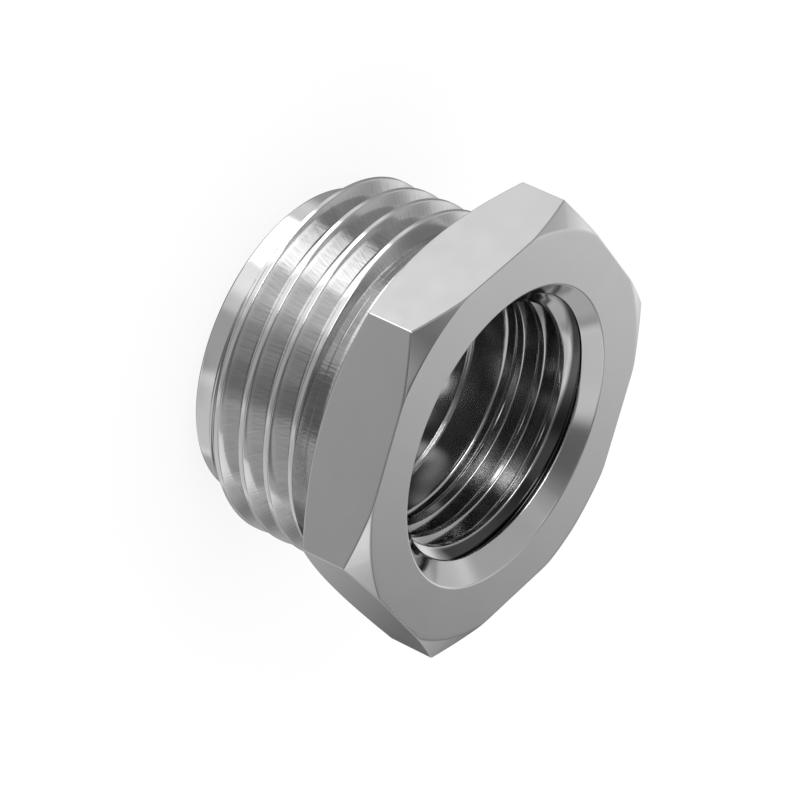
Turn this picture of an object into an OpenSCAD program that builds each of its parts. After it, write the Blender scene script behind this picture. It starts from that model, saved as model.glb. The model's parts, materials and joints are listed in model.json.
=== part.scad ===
// Hex reducing adapter for a garden hose, one turned and plated metal piece.
// It stands on its plain pilot end, with the hexagon head and the female thread on top.
// Units are millimetres and the thread axis is Z, with the pilot face at z = 0.

/* [Hexagon head] */

// distance between opposite flats
hex_flats = 30; // [29:0.5:34]
// height of the head along the axis
hex_height = 6; // [5:0.5:10]
// how much wider than the flats the ring is that the top chamfer leaves plain
top_face_over = 0.9; // [0:0.1:2]
// slope of the corner chamfer on the top, in degrees from the face
top_chamfer_angle = 26.3; // [15:1:35]
// how much narrower than the flats the ring is that the lower chamfer leaves plain
under_face_less = 0.6; // [0:0.1:1.5]
// slope of the corner chamfer on the underside, in degrees from the face
under_chamfer_angle = 29; // [15:1:35]

/* [Male hose thread] */

// diameter over the crests, for a three quarter inch hose coupling
male_d = 26.9; // [26.4:0.1:28]
// threads per inch of the hose thread
male_tpi = 11.5; // [10:0.5:14]
// length from the pilot face to the underside of the head
male_length = 12.6; // [11:0.1:18]
// depth of the male thread as a share of its pitch
male_depth_share = 0.63; // [0.45:0.01:0.66]
// width of a male crest as a share of the pitch
male_crest_share = 0.17; // [0.12:0.01:0.2]
// place of one groove of the male thread above the pilot face, at the corner on the X axis
male_phase = 8.49; // [7.5:0.01:9.5]
// width of the relief groove between the thread and the head
relief_width = 2.5; // [2:0.1:3]
// depth that the relief groove goes below the thread roots
relief_extra = 0.1; // [0.05:0.05:0.4]

/* [Plain pilot] */

// diameter of the pilot that leads the thread into its coupling
pilot_d = 23.5; // [22:0.1:24]
// length of the pilot below the lead chamfer
pilot_length = 1.5; // [1:0.1:3]
// height of the lead chamfer at the start of the thread
lead_chamfer = 0.8; // [0.5:0.1:1.5]
// size of the broken edge around the pilot face
pilot_edge = 0.15; // [0.1:0.05:0.3]

/* [Female pipe thread] */

// diameter over the crests, for a half inch pipe
female_d = 18.7; // [18.1:0.1:19.2]
// threads per inch of the pipe thread
female_tpi = 14; // [12:1:18]
// diameter of the countersink at the top face
mouth_d = 22.84; // [21.5:0.1:24.5]
// depth of the female thread as a share of its pitch
female_depth_share = 0.57; // [0.45:0.01:0.6]
// width of a female crest as a share of the pitch
female_crest_share = 0.25; // [0.15:0.01:0.26]
// depth of one groove of the female thread below the top face, at the corner on the X axis
female_phase = 4.29; // [3:0.01:5]
// depth below the top face where the last groove has run out
female_depth = 8.3; // [6.5:0.1:9]
// turn over which the last grooves get shallow, in degrees
fade_turn = 450; // [90:30:600]

/* [Through bore] */

// diameter of the water way through the male end
bore_d = 17.9; // [15:0.1:18]
// depth of the shoulder below the top face, where the water way starts
shoulder_depth = 10.1; // [9.5:0.1:13]

/* [Facets of the threads] */

// flat steps in one turn of the male thread
male_steps = 72; // [48:12:84]
// flat steps in one turn of the female thread
female_steps = 60; // [36:12:72]

/* [Hidden] */

$fn = 96;
inch = 25.4;
flank_angle = 30;
cut_play = 0.06;
cut_over = 1;
total_height = male_length + hex_height;
corner_r = hex_flats / sqrt(3);
top_ring_r = (hex_flats + top_face_over) / 2;
under_ring_r = (hex_flats - under_face_less) / 2;

male_r = male_d / 2;
male_pitch = inch / male_tpi;
male_depth = male_depth_share * male_pitch;
male_root_r = male_r - male_depth;
male_mouth = male_pitch * (1 - male_crest_share);
male_cut = male_mouth + 2 * cut_play * tan(flank_angle);
relief_r = male_root_r - relief_extra;
relief_z = male_length - relief_width;
male_low = pilot_length - male_cut / 2 - cut_play;
male_high = relief_z + male_cut / 2 + cut_play;

pilot_r = pilot_d / 2;
female_r = female_d / 2;
female_pitch = inch / female_tpi;
female_cut_depth = female_depth_share * female_pitch;
female_root_r = female_r + female_cut_depth;
female_mouth = female_pitch * (1 - female_crest_share);
female_cut = female_mouth + 2 * cut_play * tan(flank_angle);
female_low = total_height - female_depth;
female_high = total_height + female_cut / 2 + cut_play;
female_phase_z = total_height - female_phase;

mouth_r = mouth_d / 2;
bore_r = bore_d / 2;
shoulder_z = total_height - shoulder_depth;
// smallest share of its mouth that the flat bottom of a groove keeps
least_root = 0.05;
// smallest share of its depth that a cutter keeps where it runs out
least_cut = 0.02;

// axial width of the flat at the bottom of a groove
function groove_root(mouth, depth) = max(mouth * least_root, mouth - 2 * depth * tan(flank_angle));

// angle at which a thread with this pitch and phase reaches a height
function angle_at(z, phase, pitch) = (z - phase) * 360 / pitch;

// one corner of the cutter's section, turned and lifted along the helix
function helix_point(a, r, dz, phase, pitch) = [r * cos(a), r * sin(a), phase + pitch * a / 360 + dz];

// share of the full depth that is cut at angle a, from none at the low end to all after the fade
function cut_share(a, a0, fade) = fade == 0 ? 1 : min(1, (a - a0) / fade);

// helical cutter with a trapezoid section, from height z0 to z1
// open_r is its wide side, in the air, and root_r its narrow side, in the metal
module thread_cutter(open_r, root_r, open_w, root_w, pitch, phase, z0, z1, steps, fade) {
    a0 = angle_at(z0, phase, pitch);
    a1 = angle_at(z1, phase, pitch);
    count = ceil((a1 - a0) * steps / 360);
    step = (a1 - a0) / count;
    inner = root_r < open_r;
    points = [for (i = [0:count])
        let (a = a0 + i * step)
        let (s = max(cut_share(a, a0, fade), least_cut))
        let (r = open_r + (root_r - open_r) * s)
        let (w = root_w + (open_w - root_w) * s)
        for (corner = [[open_r, -w / 2], [open_r, w / 2], [r, root_w / 2], [r, -root_w / 2]])
            helix_point(a, corner[0], corner[1], phase, pitch)];
    sides = [for (i = [0:count - 1], j = [0:3])
        let (p = 4 * i + j)
        let (q = 4 * i + (j + 1) % 4)
        for (face = [[p, q, q + 4], [p, q + 4, p + 4]])
            face];
    last = 4 * count;
    ends = [[3, 2, 1, 0], [last, last + 1, last + 2, last + 3]];
    faces = concat(sides, ends);
    polyhedron(points = points, faces = inner ? faces : [for (f = faces) [for (k = [len(f) - 1:-1:0]) f[k]]]);
}

module male_cutter() {
    thread_cutter(male_r + cut_play, male_root_r, male_cut, groove_root(male_mouth, male_depth),
        male_pitch, male_phase, male_low, male_high, male_steps, 0);
}

module female_cutter() {
    thread_cutter(female_r - cut_play, female_root_r, female_cut, groove_root(female_mouth, female_cut_depth),
        female_pitch, female_phase_z, female_low, female_high, female_steps, fade_turn);
}

// hexagon bar with its corners turned off above and below
module head() {
    over_r = corner_r + cut_over;
    top_drop = (over_r - top_ring_r) * tan(top_chamfer_angle);
    under_rise = (over_r - under_ring_r) * tan(under_chamfer_angle);
    intersection() {
        translate([0, 0, male_length])
            cylinder(r = corner_r, h = hex_height, $fn = 6);
        rotate_extrude()
            polygon([
                [0, male_length],
                [under_ring_r, male_length],
                [over_r, male_length + under_rise],
                [over_r, total_height - top_drop],
                [top_ring_r, total_height],
                [0, total_height]]);
    }
}

// pilot, lead chamfer, thread blank and relief groove, turned as one profile
module shank() {
    rotate_extrude()
        polygon([
            [0, 0],
            [pilot_r - pilot_edge, 0],
            [pilot_r, pilot_edge],
            [pilot_r, pilot_length],
            [male_r, pilot_length + lead_chamfer],
            [male_r, relief_z],
            [relief_r, relief_z],
            [relief_r, male_length + cut_play],
            [0, male_length + cut_play]]);
}

// countersink, thread bore, flat shoulder and water way, drilled as one profile
module water_way() {
    mouth_drop = mouth_r - female_r;
    rotate_extrude()
        polygon([
            [0, -cut_over],
            [bore_r, -cut_over],
            [bore_r, shoulder_z],
            [female_r, shoulder_z],
            [female_r, total_height - mouth_drop],
            [mouth_r + cut_over, total_height + cut_over],
            [0, total_height + cut_over]]);
}

module adapter_body() {
    color([0.78, 0.78, 0.78])
    difference() {
        union() {
            head();
            difference() {
                shank();
                male_cutter();
            }
        }
        water_way();
        female_cutter();
    }
}

adapter_body();
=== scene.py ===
# A garden hose adapter in bright nickel plate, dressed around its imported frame.
# Lengths in this script are millimetres unless a name says otherwise, and meshes are written in metres.
# The adapter stands on its plain pilot, so the thread axis is Z and the hexagon is on top.

import json
import math

import bmesh
import bpy
from mathutils import Matrix, Vector


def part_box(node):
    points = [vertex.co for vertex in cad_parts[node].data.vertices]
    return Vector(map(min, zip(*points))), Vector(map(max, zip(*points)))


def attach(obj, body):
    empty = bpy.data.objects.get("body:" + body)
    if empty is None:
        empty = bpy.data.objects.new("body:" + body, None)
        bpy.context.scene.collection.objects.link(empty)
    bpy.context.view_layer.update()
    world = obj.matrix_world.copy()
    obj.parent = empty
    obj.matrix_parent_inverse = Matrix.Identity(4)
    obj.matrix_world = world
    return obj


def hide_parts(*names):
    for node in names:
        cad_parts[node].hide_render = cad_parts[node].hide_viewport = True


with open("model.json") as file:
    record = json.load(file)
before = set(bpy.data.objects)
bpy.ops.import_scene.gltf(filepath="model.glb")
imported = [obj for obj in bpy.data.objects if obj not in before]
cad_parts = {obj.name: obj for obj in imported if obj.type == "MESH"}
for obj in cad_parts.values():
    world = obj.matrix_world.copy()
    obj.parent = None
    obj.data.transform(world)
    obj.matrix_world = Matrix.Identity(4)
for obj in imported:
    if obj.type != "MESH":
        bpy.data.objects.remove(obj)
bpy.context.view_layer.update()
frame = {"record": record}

bl_info = {
    "name": "Garden hose adapter",
    "version": (1, 0, 0),
    "blender": (4, 5, 0),
    "location": "View3D > Sidebar > Adapter",
    "description": "Builds a plated hexagon hose adapter with its two threads, and a studio around it",
    "category": "Add Mesh",
}

MM = 0.001
INCH = 25.4
FULL_TURN = 2 * math.pi
NODE = "adapter_body"


def frame_radius(name):
    """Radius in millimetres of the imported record's round mount of that name."""
    mount = next(m for m in frame["record"]["mounts"] if m["name"] == name)
    return mount["dims"]["r_mm"]


LOW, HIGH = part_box(NODE)
FRAME_HEIGHT = (HIGH.z - LOW.z) / MM
FRAME_FLATS = (HIGH.y - LOW.y) / MM


# Sizes and finishes that a user would change


def size_prop(name, text, value, low=0.01, high=100.0):
    """A length in millimetres."""
    return bpy.props.FloatProperty(
        name=name, description=text + ", in mm", default=value, min=low, max=high, precision=4)


def angle_prop(name, text, value):
    """An angle, kept in radians and shown in degrees."""
    return bpy.props.FloatProperty(
        name=name, description=text, default=math.radians(value), subtype="ANGLE")


def share_prop(name, text, value, high=1.0):
    """A plain number from 0 up."""
    return bpy.props.FloatProperty(
        name=name, description=text, default=value, min=0.0, max=high, precision=3)


def colour_prop(name, text, hex_value):
    """A colour given as sRGB hex and kept as linear."""
    return bpy.props.FloatVectorProperty(
        name=name, description=text, default=linear(hex_value)[:3], subtype="COLOR", min=0.0, max=1.0)


def linear(hex_value):
    """Linear RGBA of an sRGB hex colour such as #C8C8C8."""
    parts = [int(hex_value[i:i + 2], 16) / 255 for i in (1, 3, 5)]
    return [c / 12.92 if c <= 0.04045 else ((c + 0.055) / 1.055) ** 2.4 for c in parts] + [1.0]


class AdapterSizes(bpy.types.PropertyGroup):
    height: size_prop("Height", "Overall height along the thread axis", FRAME_HEIGHT)
    flats: size_prop("Flats", "Distance between opposite flats of the hexagon", FRAME_FLATS)
    head: size_prop("Head height", "Height of the hexagon", 6.0)
    top_over: size_prop("Top ring", "How much wider than the flats the flat ring on top is", 0.9)
    top_slope: angle_prop("Top chamfer", "Slope of the corner chamfer on top", 26.3)
    under_less: size_prop("Under ring", "How much narrower than the flats the ring below is", 0.6)
    under_slope: angle_prop("Under chamfer", "Slope of the corner chamfer below", 29.0)
    male_r: size_prop("Male radius", "Radius over the male crests", frame_radius("male_thread"))
    male_tpi: share_prop("Male threads", "Male threads per inch", 11.5, 40)
    male_phase: size_prop("Male phase", "Height of one male groove at the corner on X", 8.49)
    male_share: share_prop("Male depth", "Depth of the male thread as a share of its pitch", 0.63)
    male_crest: share_prop("Male crest", "Width of a male crest as a share of its pitch", 0.17)
    relief_width: size_prop("Relief width", "Width of the groove between the thread and the head", 2.5)
    relief_extra: size_prop("Relief", "How far the relief groove goes below the roots", 0.1)
    pilot_r: size_prop("Pilot radius", "Radius of the plain pilot", frame_radius("pilot"))
    pilot_length: size_prop("Pilot length", "Length of the plain pilot", 1.5)
    pilot_edge: size_prop("Pilot edge", "Broken edge round the pilot face", 0.15)
    lead: size_prop("Lead chamfer", "Height of the chamfer that starts the male thread", 0.8)
    female_r: size_prop("Female radius", "Radius over the female crests", frame_radius("female_thread"))
    female_tpi: share_prop("Female threads", "Female threads per inch", 14.0, 40)
    female_phase: size_prop("Female phase", "Depth of one female groove at the corner on X", 4.29)
    female_share: share_prop(
        "Female depth", "Depth of the female thread as a share of its pitch", 0.57)
    female_crest: share_prop("Female crest", "Width of a female crest as a share of its pitch", 0.25)
    female_end: size_prop("Female end", "Depth where the last female groove has run out", 8.3)
    fade_turn: angle_prop("Run-out", "Turn over which the last female grooves get shallow", 450.0)
    mouth_r: size_prop("Mouth radius", "Radius of the countersink at the top face", 11.42)
    bore_r: size_prop("Bore radius", "Radius of the water way", frame_radius("water_way"))
    shoulder_depth: size_prop("Shoulder depth", "Depth of the shoulder below the top face", 10.1)
    edge: size_prop("Broken edge", "Size of the tumbled edges of the head", 0.09)
    crest_round: size_prop("Crest rounding", "Radius that plating leaves on a male crest", 0.12)
    female_round: size_prop(
        "Female crest rounding", "Radius that the tap and the plating leave on a crest", 0.11)
    root_round: size_prop("Root rounding", "Radius of the tool's tip in a root", 0.14)


class AdapterFinish(bpy.types.PropertyGroup):
    plate: colour_prop("Plate", "Colour of the nickel plate", "#DEDEDE")
    cloud: share_prop("Cloud", "How much darker the plate gets where it is thin or handled", 0.07)
    head_cloud: share_prop("Head cloud", "The same on the hexagon, which is polished evenly", 0.03)
    head_rough: share_prop("Head roughness", "Roughness of the hexagon", 0.17)
    thread_rough: share_prop("Thread roughness", "Roughness of the male thread", 0.12)
    bore_rough: share_prop("Bore roughness", "Roughness of the female thread and water way", 0.12)
    head_wave: size_prop("Head swell", "Height of the swell of the plate on the hexagon", 0.002, 0)
    thread_wave: size_prop("Thread swell", "Height of the swell on the male thread", 0.006, 0)
    bore_wave: size_prop("Bore swell", "Height of the swell in the bore", 0.004, 0)
    wave_size: size_prop("Swell size", "Width of one swell of the plate", 2.2)
    satin: size_prop("Satin", "Height of the polishing marks on the hexagon", 0.0012, 0)
    satin_size: size_prop("Satin size", "Size of the polishing marks", 0.22)
    chatter_pitch: size_prop(
        "Chatter spacing", "Spacing of the tool's chatter marks round the thread", 0.18)
    thread_chatter: size_prop("Thread chatter", "Height of the marks outside", 0.0055, 0)
    bore_chatter: size_prop("Bore chatter", "Height of the marks inside", 0.0006, 0)
    relief_gain: share_prop("Relief chatter", "How many times higher the marks in the relief are", 2.4, 9)
    thread_arc: size_prop("Thread arc", "Radius at which the chatter is spaced outside", 13.0)
    bore_arc: size_prop("Bore arc", "Radius at which the chatter is spaced inside", 9.5)
    paste: share_prop("Paste", "How much the polishing paste held by the chatter darkens it", 0.18)
    # painted shade in the first female groove, just under the countersink
    first_groove_shade: share_prop("Film", "How much the paste left in the first female groove darkens it", 0.86)
    # painted shade deep in the bore
    thin: share_prop("Thin plate", "How much darker the plate is deep in the bore", 0.14)


class AdapterStage(bpy.types.PropertyGroup):
    view_azimuth: angle_prop("View azimuth", "Direction of the camera round the thread axis", 11.981)
    view_elevation: angle_prop("View elevation", "Height angle of the camera", 29.531)
    view_roll: angle_prop("View roll", "Turn of the camera about its own axis", -114.989)
    distance: size_prop(
        "Camera distance", "Distance from the camera to its aim", 326.04, high=2000)
    aim: bpy.props.FloatVectorProperty(
        name="Aim", description="Point that the camera looks at, in mm", default=(3.648, 1.610, 11.711))
    lens: size_prop("Lens", "Focal length on the sensor", 210.16, high=1000)
    sensor: size_prop("Sensor", "Width of the camera's sensor", 36.0)
    floor: size_prop("Floor", "Side of the floor", 4000.0, high=10000)
    paper: colour_prop("Paper", "Colour of the floor", "#F4F4F4")
    floor_glow: share_prop("Floor glow", "Share of the floor's white that takes no shadow", 0.88)
    softbox: size_prop(
        "Softbox", "Side of the softbox over the floor, and its height", 600.0, high=10000)
    softbox_power: share_prop("Softbox power", "Power of the softbox in watts", 3.0, high=1000)
    # the dark card is painted shade with painted glows, seen only in reflections
    card: size_prop("Under card", "Radius of the dark card that the bore reflects", 9.4)
    card_drop: size_prop("Card drop", "How far the dark card is below the floor", 0.2)
    side_drop: size_prop("Side drop", "How far the grey card beside the head is below the floor", 0.3)


# The shape


def bezier(a, b, c, count):
    """Points of a quadratic curve from a to c with its handle at b."""
    points = []
    for i in range(count + 1):
        t = i / count
        near, middle, far = (1 - t) ** 2, 2 * t * (1 - t), t * t
        points.append(tuple(near * p + middle * q + far * r for p, q, r in zip(a, b, c)))
    return points


# Largest share of a side that the rounding of one of its corners may take
SIDE_SHARE = 0.45


def toward(a, b, length):
    """The point at a length from a towards b."""
    share = min(length / math.dist(a, b), SIDE_SHARE)
    return tuple(p + (q - p) * share for p, q in zip(a, b))


def rounded(points, radius, count=4, hold=0.05):
    """An open outline with its inner corners rounded, and a holding point on each side of a rounding."""
    out = [points[0]]
    for before, corner, after in zip(points, points[1:], points[2:]):
        start = toward(corner, before, radius)
        end = toward(corner, after, radius)
        out.append(toward(start, before, hold))
        out += bezier(start, corner, end, count)
        out.append(toward(end, after, hold))
    return out + [points[-1]]


def smooth_min(a, b, width):
    """The smaller of two lengths, blended over a width."""
    h = max(width - abs(a - b), 0.0) / width
    return min(a, b) - h * h * width / 4


class Skin:
    """A closed skin made of rings of points, one point of each ring in every column."""

    def __init__(self, angles):
        self.angles = angles
        self.points = []
        self.faces = []
        self.finish = []
        self.last = None
        self.first = None

    def ring(self, section):
        """A ring of new points, from a function that gives (r, z) at an angle."""
        start = len(self.points)
        for a in self.angles:
            r, z = section(a)
            self.points.append((r * math.cos(a), r * math.sin(a), z))
        return [start + j for j in range(len(self.angles))]

    def strip(self, low, high, finish):
        """Faces between two rings, each with its own copy of column 0 at the end."""
        for j in range(len(low) - 1):
            corners = [low[j], low[j + 1], high[j + 1], high[j]]
            kept = [c for i, c in enumerate(corners) if c != corners[i - 1]]
            if len(set(kept)) == len(kept) and len(kept) > 2:
                self.faces.append(kept)
                self.finish.append(finish)

    def add_ring(self, section, finish):
        """One more ring, joined to the last."""
        ring = self.ring(section)
        ring.append(ring[0])
        if self.first is None:
            self.first = ring
        else:
            self.strip(self.last, ring, finish)
        self.last = ring

    def add_turned(self, outline, finish):
        """Turned rings from a list of (r, z)."""
        for r, z in outline:
            self.add_ring(lambda a, r=r, z=z: (r, z), finish)

    def add_thread(self, radius, heights, pitch, low, high, finish, downward=False):
        """Rings that climb with a thread from height low to height high.
        heights holds the rows of one pitch, and radius gives the radius at an angle and a height."""
        rows = len(heights)
        first = math.floor((low - pitch - heights[0]) / pitch) - 1
        last = math.ceil((high - heights[0]) / pitch) + 1
        bottom = self.ring(lambda a: (radius(a, low), low))
        top = self.ring(lambda a: (radius(a, high), high))
        table = []
        for turn in range(first, last + 1):
            for rise in heights:
                row = []
                for j, a in enumerate(self.angles):
                    z = rise + pitch * (turn + a / FULL_TURN)
                    if z <= low:
                        row.append(bottom[j])
                    elif z >= high:
                        row.append(top[j])
                    else:
                        r = radius(a, z)
                        self.points.append((r * math.cos(a), r * math.sin(a), z))
                        row.append(len(self.points) - 1)
                table.append(row)
        for i, row in enumerate(table):
            row.append(table[i + rows][0] if i + rows < len(table) else top[0])
        table = [bottom + [bottom[0]]] + table + [top + [top[0]]]
        if downward:
            table.reverse()
        self.strip(self.last, table[0], finish)
        for a, b in zip(table, table[1:]):
            self.strip(a, b, finish)
        self.last = table[-1]

    def close(self, finish):
        """Joins the last ring to the first."""
        self.strip(self.last, self.first, finish)


# Names of the three finishes, in the order of the mesh's material slots
HEAD, THREAD, BORE = range(3)

# Angle between two columns away from the corners, and from a corner's rounding to its holding column
COLUMN_STEP = math.radians(2)
COLUMN_HOLD = math.radians(0.25)

# Fine points of the mesh, too small to be sizes of the adapter, in mm
FACE_STEP = 0.5  # from an edge to the next ring on the plain face beside it
EASE = 0.12  # half the width over which the inner edge of a corner chamfer is eased
THREAD_GAP = 0.05  # from the last ring of the pilot to its end
THREAD_START = 0.02  # from the end of the pilot to the first row of the thread
LEAD_BLEND = 0.05  # blend of the grooves with the lead chamfer
END_BLEND = 0.02  # blend of the grooves with the end of the last crest
RELIEF_STEP = 0.08  # from the relief groove to the ring on its wall
RELIEF_ROUND = 0.1  # rounding of the relief groove's corners
UNDER_STEP = 2.0  # from a flat in to the first ring below the head
CONE_BLEND = 0.06  # blend of the female grooves with the countersink
CONE_START = 0.11  # length of the countersink above the first row of the female thread
CONE_GAP = 0.01  # from that row to the end of the turned rings above it
MOUTH_STEP = 1.2  # from the countersink out to the next ring on the top face
RUN_OUT_GAP = 0.5  # from the end of the run-out to the last row of the female thread
PLAIN_STEP = 0.3  # from that row to the next ring of the bore
BORE_ROUND = 0.08  # rounding of the corners in the bore
PILOT_STEP = 0.4  # from the water way out to the next ring on the pilot face


def corner_rounding(s):
    """Distance from the axis to the centre of a corner's rounding, and half the angle that it takes."""
    cosine = math.cos(math.pi / 6)
    centre = (s.flats / 2 - s.edge) / cosine
    return centre, math.atan2(s.edge / 2, centre + s.edge * cosine)


def column_angles(s):
    """Angles of the columns, which are closer where a corner of the hexagon is rounded."""
    half = corner_rounding(s)[1]
    near = [-half - COLUMN_HOLD, -half, -half / 2, 0.0, half / 2, half, half + COLUMN_HOLD]
    sixth = FULL_TURN / 6
    angles = []
    for corner in range(6):
        at = corner * sixth
        angles += [at + n for n in near if corner or n >= 0]
        angles += [at + k * COLUMN_STEP for k in range(1, round(sixth / COLUMN_STEP))]
    angles += [FULL_TURN + n for n in near if n < 0]
    return angles


def hex_radius(s, angle):
    """Distance from the axis to the hexagon at an angle, with its corners rounded."""
    from_corner = (angle + math.pi / 6) % (math.pi / 3) - math.pi / 6
    centre, half = corner_rounding(s)
    if abs(from_corner) < half:
        side = centre * math.sin(from_corner)
        return centre * math.cos(from_corner) + math.sqrt(s.edge ** 2 - side ** 2)
    return s.flats / 2 / math.cos(math.pi / 6 - abs(from_corner))


# Shares of a flank where its rows are
FLANK_ROWS = (0.35, 0.5, 0.65)


def thread_profile(s, pitch, depth, crest, crest_round):
    """Half of one groove's section as (offset along the axis, distance from the root towards the crest)."""
    flank_slope = math.tan(math.pi / 6)
    mouth = pitch * (1 - crest) / 2
    root = mouth - depth * flank_slope
    outline = [(0.0, 0.0), (root, 0.0), (mouth, depth), (pitch / 2, depth)]
    first = rounded(outline[:3], s.root_round * flank_slope, hold=0.04)
    second = rounded(outline[1:], crest_round * flank_slope, hold=0.03)
    flank = [(root + (mouth - root) * t, depth * t) for t in FLANK_ROWS]
    return first[:-1] + flank + second[1:]


def profile_depth(profile, offset):
    """Distance from the root at an offset from the groove's centre."""
    x = abs(offset)
    for (x0, y0), (x1, y1) in zip(profile, profile[1:]):
        if x <= x1:
            return y0 + (y1 - y0) * (x - x0) / (x1 - x0)
    return profile[-1][1]


def thread_rows(profile, pitch, phase):
    """Heights of the rows of one whole pitch, from a groove's centre up."""
    half = [x for x, _ in profile]
    return [phase + x for x in half[:-1] + [pitch - x for x in reversed(half)][:-1]]


def groove_place(angle, z, phase, pitch):
    """Number of the nearest groove at an angle and a height, and the offset from its centre."""
    place = (z - phase) / pitch - angle / FULL_TURN
    return round(place), (place - round(place)) * pitch


def add_male_end(skin, s):
    """Pilot, male thread and relief groove, from the pilot face to the underside of the head."""
    neck = s.height - s.head
    pitch = INCH / s.male_tpi
    depth = s.male_share * pitch
    root_r = s.male_r - depth
    profile = thread_profile(s, pitch, depth, s.male_crest, s.crest_round)
    relief_r = root_r - s.relief_extra
    relief_z = neck - s.relief_width
    lead_slope = (s.male_r - s.pilot_r) / s.lead
    # length over which the last crest rolls over into the relief groove
    roll = s.edge * 0.7
    roll_rings = 4

    def radius(angle, z):
        thread = root_r + profile_depth(profile, groove_place(angle, z, s.male_phase, pitch)[1])
        blank = s.pilot_r + (z - s.pilot_length) * lead_slope
        end = s.male_r - max(0.0, z - (relief_z - roll)) ** 2 / roll
        return smooth_min(smooth_min(thread, blank, LEAD_BLEND), end, END_BLEND)

    skin.add_turned(rounded([
        (s.bore_r + FACE_STEP, 0.0), (s.pilot_r, 0.0), (s.pilot_r, s.pilot_length - THREAD_GAP)],
        s.pilot_edge), THREAD)
    skin.add_thread(radius, thread_rows(profile, pitch, s.male_phase), pitch,
                    s.pilot_length + THREAD_START, relief_z - roll, THREAD)
    for k in range(1, roll_rings + 1):
        z = relief_z - roll * (1 - k / roll_rings)
        skin.add_ring(lambda a, z=z: (radius(a, z), z), THREAD)
    skin.add_ring(lambda a: ((radius(a, relief_z) + relief_r) / 2, relief_z), THREAD)
    skin.add_turned(rounded([
        (relief_r + RELIEF_STEP, relief_z), (relief_r, relief_z), (relief_r, neck),
        (s.flats / 2 - UNDER_STEP, neck)], RELIEF_ROUND), THREAD)


def eased(past, slope):
    """Drop of a chamfer at a distance past its inner edge, which is eased."""
    if past <= -EASE:
        return 0.0
    if past >= EASE:
        return past * slope
    return slope * (past + EASE) ** 2 / (4 * EASE)


def add_head(skin, s):
    """Hexagon with its corners turned off below and on top, and its tumbled edges."""
    under_ring = (s.flats - s.under_less) / 2
    top_ring = (s.flats + s.top_over) / 2

    def under(r):
        return s.height - s.head + eased(r - under_ring, math.tan(s.under_slope))

    def upper(r):
        return s.height - eased(r - top_ring, math.tan(s.top_slope))

    def add_face_ring(face, r):
        """A ring on a face, which stops at the rounding of the flats."""
        def section(a):
            inner = min(r, hex_radius(s, a) - s.edge)
            return inner, face(inner)
        skin.add_ring(section, HEAD)

    def add_edge_ring(face, up, t):
        """A ring of the rounding between a face and the flats, t from 0 on the face to 1 on the flats."""
        def section(a):
            r = hex_radius(s, a)
            start = (r - s.edge, face(r - s.edge))
            corner = (r, face(r))
            end = (r, face(r) + up * s.edge)
            near, middle, far = (1 - t) ** 2, 2 * t * (1 - t), t * t
            return tuple(near * p + middle * q + far * w for p, q, w in zip(start, corner, end))
        skin.add_ring(section, HEAD)

    def add_flat_ring(face, up):
        """A ring on the flats, just past their rounding."""
        skin.add_ring(lambda a: (hex_radius(s, a), face(hex_radius(s, a)) + up * 2 * s.edge), HEAD)

    steps = (-FACE_STEP, -EASE, -EASE / 2, 0.0, EASE / 2, EASE)
    turns = (0.0, 0.25, 0.5, 0.75, 1.0)
    for past in steps:
        add_face_ring(under, under_ring + past)
    for t in turns:
        add_edge_ring(under, 1, t)
    add_flat_ring(under, 1)
    add_flat_ring(upper, -1)
    for t in reversed(turns):
        add_edge_ring(upper, -1, t)
    for past in reversed(steps):
        add_face_ring(upper, top_ring + past)


def add_bore(skin, s):
    """Countersink, female thread with its run-out, shoulder and water way, from the top face down."""
    pitch = INCH / s.female_tpi
    depth = s.female_share * pitch
    profile = thread_profile(s, pitch, depth, s.female_crest, s.female_round)
    phase = s.height - s.female_phase
    fade_start = (s.height - s.female_end - phase) / pitch
    fade = s.fade_turn / FULL_TURN
    shoulder = s.height - s.shoulder_depth

    def radius(angle, z):
        groove, offset = groove_place(angle, z, phase, pitch)
        share = min(max((groove + angle / FULL_TURN - fade_start) / fade, 0.0), 1.0)
        cut = share * depth - profile_depth(profile, offset)
        thread = s.female_r + max(cut, 0.0)
        cone = s.mouth_r - (s.height - z)
        return -smooth_min(-thread, -cone, CONE_BLEND)

    thread_top = s.height - CONE_START - CONE_GAP
    thread_low = s.height - s.female_end - RUN_OUT_GAP
    skin.add_turned(rounded([
        (s.mouth_r + MOUTH_STEP, s.height), (s.mouth_r, s.height),
        (s.mouth_r - CONE_START, s.height - CONE_START)], BORE_ROUND), HEAD)
    skin.add_thread(radius, thread_rows(profile, pitch, phase), pitch,
                    thread_low, thread_top, BORE, downward=True)
    skin.add_turned(rounded([
        (s.female_r, thread_low - PLAIN_STEP), (s.female_r, shoulder), (s.bore_r, shoulder),
        (s.bore_r, 0.0), (s.bore_r + PILOT_STEP, 0.0)], BORE_ROUND), BORE)


def adapter_skin(s):
    """The whole adapter as one closed skin, up the outside and down the inside."""
    skin = Skin(column_angles(s))
    add_male_end(skin, s)
    add_head(skin, s)
    add_bore(skin, s)
    skin.close(THREAD)
    return skin


def area_normals(mesh):
    """Point normals that follow the larger faces, so that flats stay flat beside their roundings."""
    normals = [Vector((0, 0, 0)) for _ in mesh.vertices]
    for face in mesh.polygons:
        weighted = face.normal * face.area
        for v in face.vertices:
            normals[v] += weighted
    return [n.normalized() for n in normals]


# Points closer than this are one point, and an edge shorter than that is none, in mm
MERGE = 0.002
LEAST_EDGE = 0.0005


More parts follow.
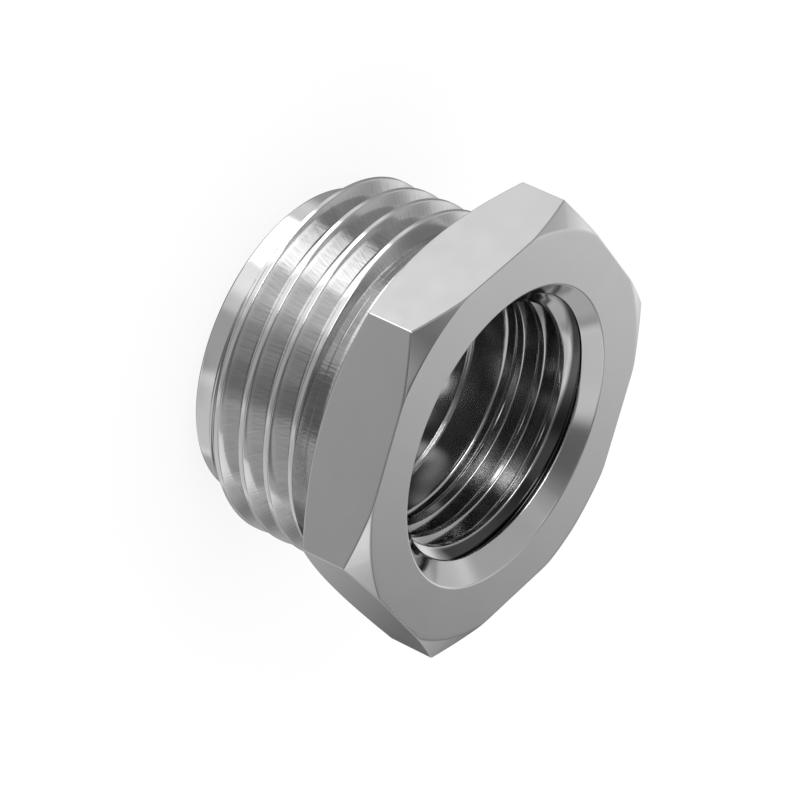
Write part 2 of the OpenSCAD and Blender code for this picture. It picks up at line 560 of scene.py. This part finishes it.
def mesh_from(skin, name):
    """A mesh object in metres from a skin."""
    mesh = bpy.data.meshes.new(name)
    mesh.from_pydata([(x * MM, y * MM, z * MM) for x, y, z in skin.points], [], skin.faces)
    mesh.polygons.foreach_set("material_index", skin.finish)
    work = bmesh.new()
    work.from_mesh(mesh)
    bmesh.ops.remove_doubles(work, verts=work.verts, dist=MERGE * MM)
    bmesh.ops.dissolve_degenerate(work, edges=work.edges, dist=LEAST_EDGE * MM)
    bmesh.ops.recalc_face_normals(work, faces=work.faces)
    work.to_mesh(mesh)
    work.free()
    mesh.shade_smooth()
    mesh.update()
    mesh.normals_split_custom_set_from_vertices(area_normals(mesh))
    piece = bpy.data.objects.new(name, mesh)
    bpy.context.scene.collection.objects.link(piece)
    return piece


# Materials


def add_node(tree, kind, settings=None, links=None):
    """Adds a node, sets its properties or inputs by name or number, and links its inputs.
    A link comes from an output, or from the first output of a node."""
    node = tree.nodes.new(kind)
    for key, value in (settings or {}).items():
        if isinstance(key, str) and hasattr(node, key):
            setattr(node, key, value)
        else:
            node.inputs[key].default_value = value
    for key, source in (links or {}).items():
        output = source.outputs[0] if isinstance(source, bpy.types.Node) else source
        tree.links.new(output, node.inputs[key])
    return node


def new_material(name):
    """An empty node material and its tree."""
    material = bpy.data.materials.new(name)
    material.use_nodes = True
    material.node_tree.nodes.clear()
    return material, material.node_tree


# Range that nearly all of a pattern's values fall in
PATTERN_LOW = 0.3
PATTERN_HIGH = 0.7

# Widths in mm of the clouds in the plate and of its duller patches, and how dull the patches are
CLOUD_SIZE = 5.0
PATCH_SIZE = 1.6
PATCH_ROUGH = (0.9, 1.15)

# Width of a chatter line as a share of its length
LINE_SHAPE = 0.09


def pattern(tree, coords, length, detail=2.0, stretch=(1, 1, 1)):
    """Random marks of about this length in millimetres, which a stretch below 1 draws out along an axis."""
    scaled = add_node(tree, "ShaderNodeMapping", {"Scale": stretch}, {"Vector": coords})
    return add_node(tree, "ShaderNodeTexNoise", {"Scale": 1 / (length * MM), "Detail": detail},
                    {"Vector": scaled})


def axis_distance(tree, coords):
    """Distance from the thread axis and height, in metres."""
    parts = add_node(tree, "ShaderNodeSeparateXYZ", links={0: coords})
    flat = add_node(tree, "ShaderNodeCombineXYZ", links={0: parts.outputs[0], 1: parts.outputs[1]})
    length = add_node(tree, "ShaderNodeVectorMath", {"operation": "LENGTH"}, {0: flat})
    return length.outputs["Value"], parts.outputs[2]


def inside(tree, *fades):
    """A share that is 1 past the end of every fade and 0 before the start of any.
    A fade is a distance in the tree, and the places in millimetres where it starts and ends."""
    parts = [add_node(tree, "ShaderNodeMapRange", {1: start * MM, 2: end * MM}, {0: distance})
             for distance, start, end in fades]
    share = parts[0]
    for part in parts[1:]:
        share = add_node(tree, "ShaderNodeMath", {"operation": "MULTIPLY"}, {0: share, 1: part})
    return share


def chatter_lines(tree, coords, spacing, radius):
    """Fine lines along the axis, as a cutting tool that chatters leaves, spaced at a radius."""
    angle = add_node(tree, "ShaderNodeTexGradient", {"gradient_type": "RADIAL"}, {"Vector": coords})
    arc = add_node(tree, "ShaderNodeMath", {"operation": "MULTIPLY", 1: FULL_TURN * radius * MM},
                   {0: angle.outputs["Fac"]})
    parts = add_node(tree, "ShaderNodeSeparateXYZ", links={0: coords})
    unrolled = add_node(tree, "ShaderNodeCombineXYZ", links={0: arc, 1: parts.outputs[2]})
    return pattern(tree, unrolled, spacing, stretch=(1, LINE_SHAPE, 1))


def plated(name, finish, rough, wave, cloud, satin=0.0, chatter=0.0, marks=None):
    """Nickel plate over brass: a clear grey mirror that the metal under it makes a little uneven.
    wave, satin and chatter are heights in millimetres. marks gives the chatter's lines and a tone."""
    material, tree = new_material(name)
    coords = add_node(tree, "ShaderNodeTexCoord").outputs["Object"]
    # a slow change of tone, as a plate has where it is thin or handled
    tone = add_node(tree, "ShaderNodeMapRange", {1: PATTERN_LOW, 2: PATTERN_HIGH, 3: 1.0 - cloud, 4: 1.0},
                    {0: pattern(tree, coords, CLOUD_SIZE, 3.0)})
    # slow swell of the plate, which bends the edges of the reflections
    normal = add_node(tree, "ShaderNodeBump", {"Strength": 1.0, "Distance": wave * MM},
                      {"Height": pattern(tree, coords, finish.wave_size, 1.0)})
    if satin:
        # satin that the polishing wheel leaves, drawn coarser than the real one so that it shows
        normal = add_node(tree, "ShaderNodeBump", {"Strength": 1.0, "Distance": satin * MM},
                          {"Height": pattern(tree, coords, finish.satin_size), "Normal": normal})
    if marks:
        lines, share = marks(tree, coords)
        tone = add_node(tree, "ShaderNodeMath", {"operation": "MULTIPLY"}, {0: tone, 1: share})
        normal = add_node(tree, "ShaderNodeBump", {"Strength": 1.0, "Distance": chatter * MM},
                          {"Height": lines, "Normal": normal})
    colour = add_node(tree, "ShaderNodeVectorMath", {"operation": "SCALE", 0: finish.plate}, {"Scale": tone})
    # patches that are a little duller than the rest
    dull = add_node(tree, "ShaderNodeMapRange", {
        1: PATTERN_LOW, 2: PATTERN_HIGH, 3: PATCH_ROUGH[0] * rough, 4: PATCH_ROUGH[1] * rough},
        {0: pattern(tree, coords, PATCH_SIZE, 4.0)})
    shader = add_node(tree, "ShaderNodeBsdfPrincipled", {"Metallic": 1.0},
                      {"Base Color": colour, "Roughness": dull, "Normal": normal})
    add_node(tree, "ShaderNodeOutputMaterial", links={"Surface": shader})
    return material


def head_material(finish):
    """Drawn hexagon bar, faced off and nickel plated: soft even reflections with a fine satin."""
    return plated("nickel_plate_on_drawn_hexagon", finish, finish.head_rough, finish.head_wave,
                  finish.head_cloud, satin=finish.satin)


def thread_material(finish, sizes):
    """Single-point turned thread under nickel plate: bright, with chatter marks along the axis."""
    burnished = 0.15  # how far below the crests the burnished metal ends
    marked = 0.45  # how far below the crests the marks are whole
    lead_in = 1.0  # height over which the marks set in above the pilot
    half_blend = 0.1  # half the height over which they get deeper at the relief groove
    start = sizes.pilot_length
    relief = sizes.height - sizes.head - sizes.relief_width

    def marks(tree, coords):
        """The chatter's lines, and the tone of the paste in them."""
        radius, height = axis_distance(tree, coords)
        lines = chatter_lines(tree, coords, finish.chatter_pitch, finish.thread_arc)
        # the crests and the pilot are burnished, so the marks stay in the grooves
        groove = inside(tree, (radius, sizes.male_r - burnished, sizes.male_r - marked),
                        (height, start, start + lead_in))
        lines = add_node(tree, "ShaderNodeMix", {"data_type": "FLOAT", 2: PATTERN_HIGH},
                         {0: groove, 3: lines})
        # a little polishing paste stays in the chatter
        paste = add_node(tree, "ShaderNodeMapRange", {
            1: PATTERN_LOW, 2: PATTERN_HIGH, 3: 1.0 - finish.paste, 4: 1.0}, {0: lines})
        # the tool rang in the relief groove, where its marks are deeper
        gain = add_node(tree, "ShaderNodeMapRange", {
            1: (relief - half_blend) * MM, 2: (relief + half_blend) * MM, 3: 1.0, 4: finish.relief_gain},
            {0: height})
        return add_node(tree, "ShaderNodeMath", {"operation": "MULTIPLY"}, {0: lines, 1: gain}), paste

    return plated("nickel_plate_on_turned_thread", finish, finish.thread_rough, finish.thread_wave,
                  finish.cloud, chatter=finish.thread_chatter, marks=marks)


def bore_material(finish, sizes):
    """Drilled and tapped bore under nickel plate: bright where light gets in, with painted shade
    in the first groove that the countersink opens, and painted shade deep in the bore."""
    shade_wall = (0.01, 0.15)  # distances past the crests between which the painted groove shade sets in
    shade_cone = (0.02, 0.12)  # distances behind the countersink between which it sets in
    shade_depth = (2.9, 2.4)  # depths below the top face between which it sets in
    shade_side = (9.2, 8.3)  # places on Y between which it sets in, as the groove has no painted shade beyond them
    deep_shade_depth = (3.0, 1.6)  # depths between which the painted shade deep in the bore sets in

    def marks(tree, coords):
        """The chatter's lines, and the tone: painted shade in the first groove and deep in the bore."""
        radius, height = axis_distance(tree, coords)
        across = add_node(tree, "ShaderNodeSeparateXYZ", links={0: coords}).outputs[1]
        # the countersink's slope is 45 degrees, so this is the same all over it and grows behind it
        behind = add_node(tree, "ShaderNodeMath", {"operation": "SUBTRACT"}, {0: radius, 1: height})
        cone = sizes.mouth_r - sizes.height
        # painted shade in the first female groove, just under the countersink, where shade falls
        groove = inside(tree, (radius, sizes.female_r + shade_wall[0], sizes.female_r + shade_wall[1]),
                        (behind, cone + shade_cone[0], cone + shade_cone[1]),
                        (height, sizes.height - shade_depth[0], sizes.height - shade_depth[1]),
                        (across, *shade_side))
        groove_shade_tone = add_node(tree, "ShaderNodeMath", {"operation": "MULTIPLY_ADD", 1: -finish.first_groove_shade, 2: 1.0},
                         {0: groove})
        # painted shade: the plate is darker deep in the bore
        deep_shade_tone = add_node(tree, "ShaderNodeMapRange", {
            1: (sizes.height - deep_shade_depth[0]) * MM, 2: (sizes.height - deep_shade_depth[1]) * MM,
            3: 1.0 - finish.thin, 4: 1.0}, {0: height})
        tone = add_node(tree, "ShaderNodeMath", {"operation": "MULTIPLY"}, {0: groove_shade_tone, 1: deep_shade_tone})
        return chatter_lines(tree, coords, finish.chatter_pitch, finish.bore_arc), tone

    return plated("nickel_plate_in_tapped_bore", finish, finish.bore_rough, finish.bore_wave,
                  finish.cloud, chatter=finish.bore_chatter, marks=marks)


# The studio


# One soft light of the tent: middle azimuth and elevation, width and height, and softness, all in degrees,
# and strength
TENT_LIGHTS = {
    "key": (-47.5, -32, 36, 26, 2, 2.5),
    "key_low": (-62, -46, 52, 42, 6, 0.66),
    "lamp": (-16, 3, 34, 16, 3, 2.6),
    "window": (-22, 44, 28, 12, 2, 9.0),
    "side": (-14, -27, 26, 40, 6, 0.65),
    "side_edge": (-8, -27, 36, 40, 3, 0.4),
    "side_up": (-13, 26, 56, 30, 6, 0.74),
    "low_front": (38, -34, 52, 44, 4, 0.22),
    "far_low": (97, -24, 60, 56, 3, 0.54),
    "far_mid": (84, -14, 50, 16, 4, 0.16),
    "table": (70, -53, 150, 40, 2, 0.18),
    "back_strip": (-161, -12, 20, 24, 7, 0.6),
    "back_low": (-136, 8, 50, 36, 5, 0.46),
    "side_back": (-92, -8, 46, 44, 8, 0.3),
    "back": (-150, 24, 60, 56, 10, 0.12),
    "face": (-151, 30, 31, 34, 5, 0.57),
    "roof_far": (102, 44, 54, 40, 4, 0.64),
    "roof_back": (150, 50, 30, 38, 6, 0.45),
    "roof_key": (-79, 42, 76, 56, 12, 0.42),
    "low_back": (-115, -40, 60, 50, 12, 0.22),
    "low_side": (150, -34, 40, 40, 2, 0.2),
    "far_side": (147, 8, 58, 34, 7, 0.44),
    "zenith": (40, 36, 56, 44, 8, 0.1),
    "cap": (0, 90, 17, 17, 3, 0.4),
}
TENT_BASE = 0.16

# One painted glow on the card under the bore, which makes a painted highlight in the bore: place x and y,
# radii along x and y, all in mm, and strength
PAINTED_BORE_GLOWS = {
    "spot": (1.6, 2.6, 1.5, 2.2, 6.2),
    "streak": (3.7, -0.9, 0.9, 1.9, 0.4),
    "tail": (3.6, -6.5, 4.0, 2.0, 0.4),
    "rim": (-1.6, 4.9, 2.6, 1.3, 0.5),
}
# Brightness of the rest of the card: painted shade in place of the shaded floor under the bore
UNDER_PAINTED_SHADE = 0.03

# Share of a glow's radius that is at full strength
GLOW_CORE = 0.3

# Grey card that the lower flat sees, a painted reflection that darkens the flat towards one end: its ends and
# sides, where its tone changes, in mm, and the two tones
SIDE_X = (-48, -12)
SIDE_Y = (15, 25)
SIDE_CHANGE = (-36, -18)
SIDE_PAINTED_TONES = (0.14, 0.4)

# Kinds of ray that don't see the cards under the floor, which leaves the reflections
UNSEEN_RAYS = ("camera", "diffuse", "shadow", "transmission")


def tent_light(tree, direction, azimuth, elevation, width, height, softness, strength):
    """Nodes for one soft rectangle of light in the tent, as brightness by direction."""
    az, el = math.radians(azimuth), math.radians(elevation)
    ahead = Vector((math.cos(az) * math.cos(el), math.sin(az) * math.cos(el), math.sin(el)))
    right = Vector((-math.sin(az), math.cos(az), 0))
    up = ahead.cross(right)
    soft = math.sin(math.radians(softness))
    facing = add_node(tree, "ShaderNodeVectorMath", {"operation": "DOT_PRODUCT", 1: tuple(ahead)},
                      {0: direction})
    light = add_node(tree, "ShaderNodeMath", {"operation": "GREATER_THAN", 1: 0.0},
                     {0: facing.outputs["Value"]})
    for axis, span in ((right, width), (up, height)):
        reach = math.sin(math.radians(span) / 2)
        along = add_node(tree, "ShaderNodeVectorMath", {"operation": "DOT_PRODUCT", 1: tuple(axis)},
                         {0: direction})
        size = add_node(tree, "ShaderNodeMath", {"operation": "ABSOLUTE"}, {0: along.outputs["Value"]})
        part = add_node(tree, "ShaderNodeMapRange", {
            "interpolation_type": "SMOOTHSTEP", 1: reach + soft, 2: reach - soft}, {0: size})
        light = add_node(tree, "ShaderNodeMath", {"operation": "MULTIPLY"}, {0: light, 1: part})
    return add_node(tree, "ShaderNodeMath", {"operation": "MULTIPLY", 1: strength}, {0: light})


def glow_spot(tree, coords, x, y, radius_x, radius_y, strength):
    """Nodes for one soft ellipse of light on the card under the bore."""
    placed = add_node(tree, "ShaderNodeMapping", {
        "vector_type": "TEXTURE", "Location": (x * MM, y * MM, 0),
        "Scale": (radius_x * MM, radius_y * MM, 1)}, {"Vector": coords})
    away = add_node(tree, "ShaderNodeVectorMath", {"operation": "LENGTH"}, {0: placed})
    return add_node(tree, "ShaderNodeMapRange", {
        "interpolation_type": "SMOOTHSTEP", 1: 1.0, 2: GLOW_CORE, 3: 0.0, 4: strength},
        {0: away.outputs["Value"]})


def sum_of_lights(tree, coords, base, make_light, lights):
    """A base brightness with the lights of a list added to it."""
    total = add_node(tree, "ShaderNodeValue")
    total.outputs[0].default_value = base
    for light in lights.values():
        total = add_node(tree, "ShaderNodeMath", {"operation": "ADD"},
                         {0: total, 1: make_light(tree, coords, *light)})
    return total


def build_world():
    """A light tent for the metal to reflect, and plain white for the camera."""
    world = bpy.data.worlds.new("light_tent")
    world.use_nodes = True
    tree = world.node_tree
    tree.nodes.clear()
    direction = add_node(tree, "ShaderNodeTexCoord").outputs["Generated"]
    brightness = sum_of_lights(tree, direction, TENT_BASE, tent_light, TENT_LIGHTS)
    tent = add_node(tree, "ShaderNodeBackground", links={"Strength": brightness})
    white = add_node(tree, "ShaderNodeBackground", {"Color": (1, 1, 1, 1), "Strength": 1.0})
    path = add_node(tree, "ShaderNodeLightPath")
    mix = add_node(tree, "ShaderNodeMixShader", links={0: path.outputs["Is Camera Ray"], 1: tent, 2: white})
    add_node(tree, "ShaderNodeOutputWorld", links={"Surface": mix})
    bpy.context.scene.world = world


def flat_sheet(name, x0, x1, y0, y1, drop):
    """A level rectangle that far below the adapter's foot."""
    mesh = bpy.data.meshes.new(name)
    corners = ((x0, y0), (x1, y0), (x1, y1), (x0, y1))
    mesh.from_pydata([(x * MM, y * MM, 0) for x, y in corners], [], [(0, 1, 2, 3)])
    sheet = bpy.data.objects.new(name, mesh)
    sheet.location.z = -drop * MM
    bpy.context.scene.collection.objects.link(sheet)
    return sheet


def build_floor(stage):
    """A white floor that keeps a faint shadow, and an overhead softbox that lights it alone."""
    half = stage.floor / 2
    floor = flat_sheet("floor", -half, half, -half, half, 0)
    material, tree = new_material("white_paper_floor")
    paper = add_node(tree, "ShaderNodeBsdfDiffuse", {"Color": (*stage.paper, 1.0)})
    glow = add_node(tree, "ShaderNodeEmission", {"Color": (1, 1, 1, 1), "Strength": 1.0})
    mix = add_node(tree, "ShaderNodeMixShader", {0: stage.floor_glow}, {1: paper, 2: glow})
    add_node(tree, "ShaderNodeOutputMaterial", links={"Surface": mix})
    floor.data.materials.append(material)
    floor.visible_glossy = False
    lamp = bpy.data.lights.new("softbox", "AREA")
    lamp.size = stage.softbox * MM
    lamp.energy = stage.softbox_power
    softbox = bpy.data.objects.new("softbox", lamp)
    softbox.location = (0, 0, stage.softbox * MM)
    softbox.visible_glossy = False
    bpy.context.scene.collection.objects.link(softbox)


def reflected_only(card, material_name, light):
    """Gives a card the brightness of light(tree, coords), which shows in reflections alone."""
    material, tree = new_material(material_name)
    coords = add_node(tree, "ShaderNodeTexCoord").outputs["Object"]
    shine = add_node(tree, "ShaderNodeEmission", links={"Strength": light(tree, coords)})
    add_node(tree, "ShaderNodeOutputMaterial", links={"Surface": shine})
    card.data.materials.append(material)
    for ray in UNSEEN_RAYS:
        setattr(card, "visible_" + ray, False)


def build_under_card(stage):
    """A dark card just under the floor, which the bore reflects: painted shade in place of the shaded floor
    under the bore, with painted glows that make highlights in the bore.
    """
    bpy.ops.mesh.primitive_circle_add(
        vertices=96, radius=stage.card * MM, fill_type="NGON", location=(0, 0, -stage.card_drop * MM))
    card = bpy.context.active_object
    card.name = "under_card"
    reflected_only(card, "dark_table_under_bore", lambda tree, coords: sum_of_lights(
        tree, coords, UNDER_PAINTED_SHADE, glow_spot, PAINTED_BORE_GLOWS))


def build_side_card(stage):
    """A grey card just under the floor, a painted reflection that makes the lower flat darker towards one
    end.
    """
    card = flat_sheet("side_card", *SIDE_X, *SIDE_Y, stage.side_drop)

    def light(tree, coords):
        """Brightness along the card."""
        along = add_node(tree, "ShaderNodeSeparateXYZ", links={0: coords})
        return add_node(tree, "ShaderNodeMapRange", {
            1: SIDE_CHANGE[0] * MM, 2: SIDE_CHANGE[1] * MM, 3: SIDE_PAINTED_TONES[0], 4: SIDE_PAINTED_TONES[1]},
            {0: along})

    reflected_only(card, "grey_table_beside_the_head", light)


def build_camera(stage):
    """The camera at the photograph's viewing angle, turned on its side as the photograph is."""
    az, el = stage.view_azimuth, stage.view_elevation
    away = Vector((math.cos(az) * math.cos(el), math.sin(az) * math.cos(el), math.sin(el)))
    right = Vector((-math.sin(az), math.cos(az), 0))
    up = away.cross(right)
    roll = stage.view_roll
    turned_up = up * math.cos(roll) + right * math.sin(roll)
    turned_right = turned_up.cross(away)
    place = (Vector(stage.aim) + away * stage.distance) * MM
    camera = bpy.data.objects.new("camera", bpy.data.cameras.new("camera"))
    camera.data.lens = stage.lens
    camera.data.sensor_width = stage.sensor
    # a close view cuts nothing off in front of the lens
    camera.data.clip_start = 10 * MM
    camera.matrix_world = Matrix.Translation(place) @ Matrix(
        (turned_right, turned_up, away)).transposed().to_4x4()
    bpy.context.scene.collection.objects.link(camera)
    bpy.context.scene.camera = camera


class ADAPTER_OT_body(bpy.types.Operator):
    """Builds the adapter's body with its hexagon, its two threads and its bore"""
    bl_idname = "adapter.body"
    bl_label = "Adapter body"

    def execute(self, context):
        sizes = context.scene.adapter_sizes
        finish = context.scene.adapter_finish
        body = mesh_from(adapter_skin(sizes), "adapter_turned_body")
        for material in (head_material(finish), thread_material(finish, sizes), bore_material(finish, sizes)):
            body.data.materials.append(material)
        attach(body, "root")
        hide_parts(NODE)
        return {"FINISHED"}


class ADAPTER_OT_stage(bpy.types.Operator):
    """Builds the floor, the light tent and the camera"""
    bl_idname = "adapter.stage"
    bl_label = "Studio"

    def execute(self, context):
        stage = context.scene.adapter_stage
        build_floor(stage)
        build_under_card(stage)
        build_side_card(stage)
        build_world()
        build_camera(stage)
        context.scene.view_settings.view_transform = "Standard"
        return {"FINISHED"}


class ADAPTER_PT_panel(bpy.types.Panel):
    """Lists the steps and their settings"""
    bl_idname = "ADAPTER_PT_panel"
    bl_label = "Hose adapter"
    bl_space_type = "VIEW_3D"
    bl_region_type = "UI"
    bl_category = "Adapter"

    def draw(self, context):
        scene = context.scene
        for group in (scene.adapter_sizes, scene.adapter_finish, scene.adapter_stage):
            box = self.layout.box()
            for name in group.bl_rna.properties.keys():
                if name not in ("rna_type", "name"):
                    box.prop(group, name)
        for operator in (ADAPTER_OT_body, ADAPTER_OT_stage):
            self.layout.operator(operator.bl_idname)


CLASSES = (AdapterSizes, AdapterFinish, AdapterStage, ADAPTER_OT_body, ADAPTER_OT_stage, ADAPTER_PT_panel)


def register():
    for item in CLASSES:
        bpy.utils.register_class(item)
    bpy.types.Scene.adapter_sizes = bpy.props.PointerProperty(type=AdapterSizes)
    bpy.types.Scene.adapter_finish = bpy.props.PointerProperty(type=AdapterFinish)
    bpy.types.Scene.adapter_stage = bpy.props.PointerProperty(type=AdapterStage)


def unregister():
    del bpy.types.Scene.adapter_sizes
    del bpy.types.Scene.adapter_finish
    del bpy.types.Scene.adapter_stage
    for item in reversed(CLASSES):
        bpy.utils.unregister_class(item)


def main():
    register()
    bpy.ops.adapter.body()
    bpy.ops.adapter.stage()


if __name__ == "__main__":
    main()
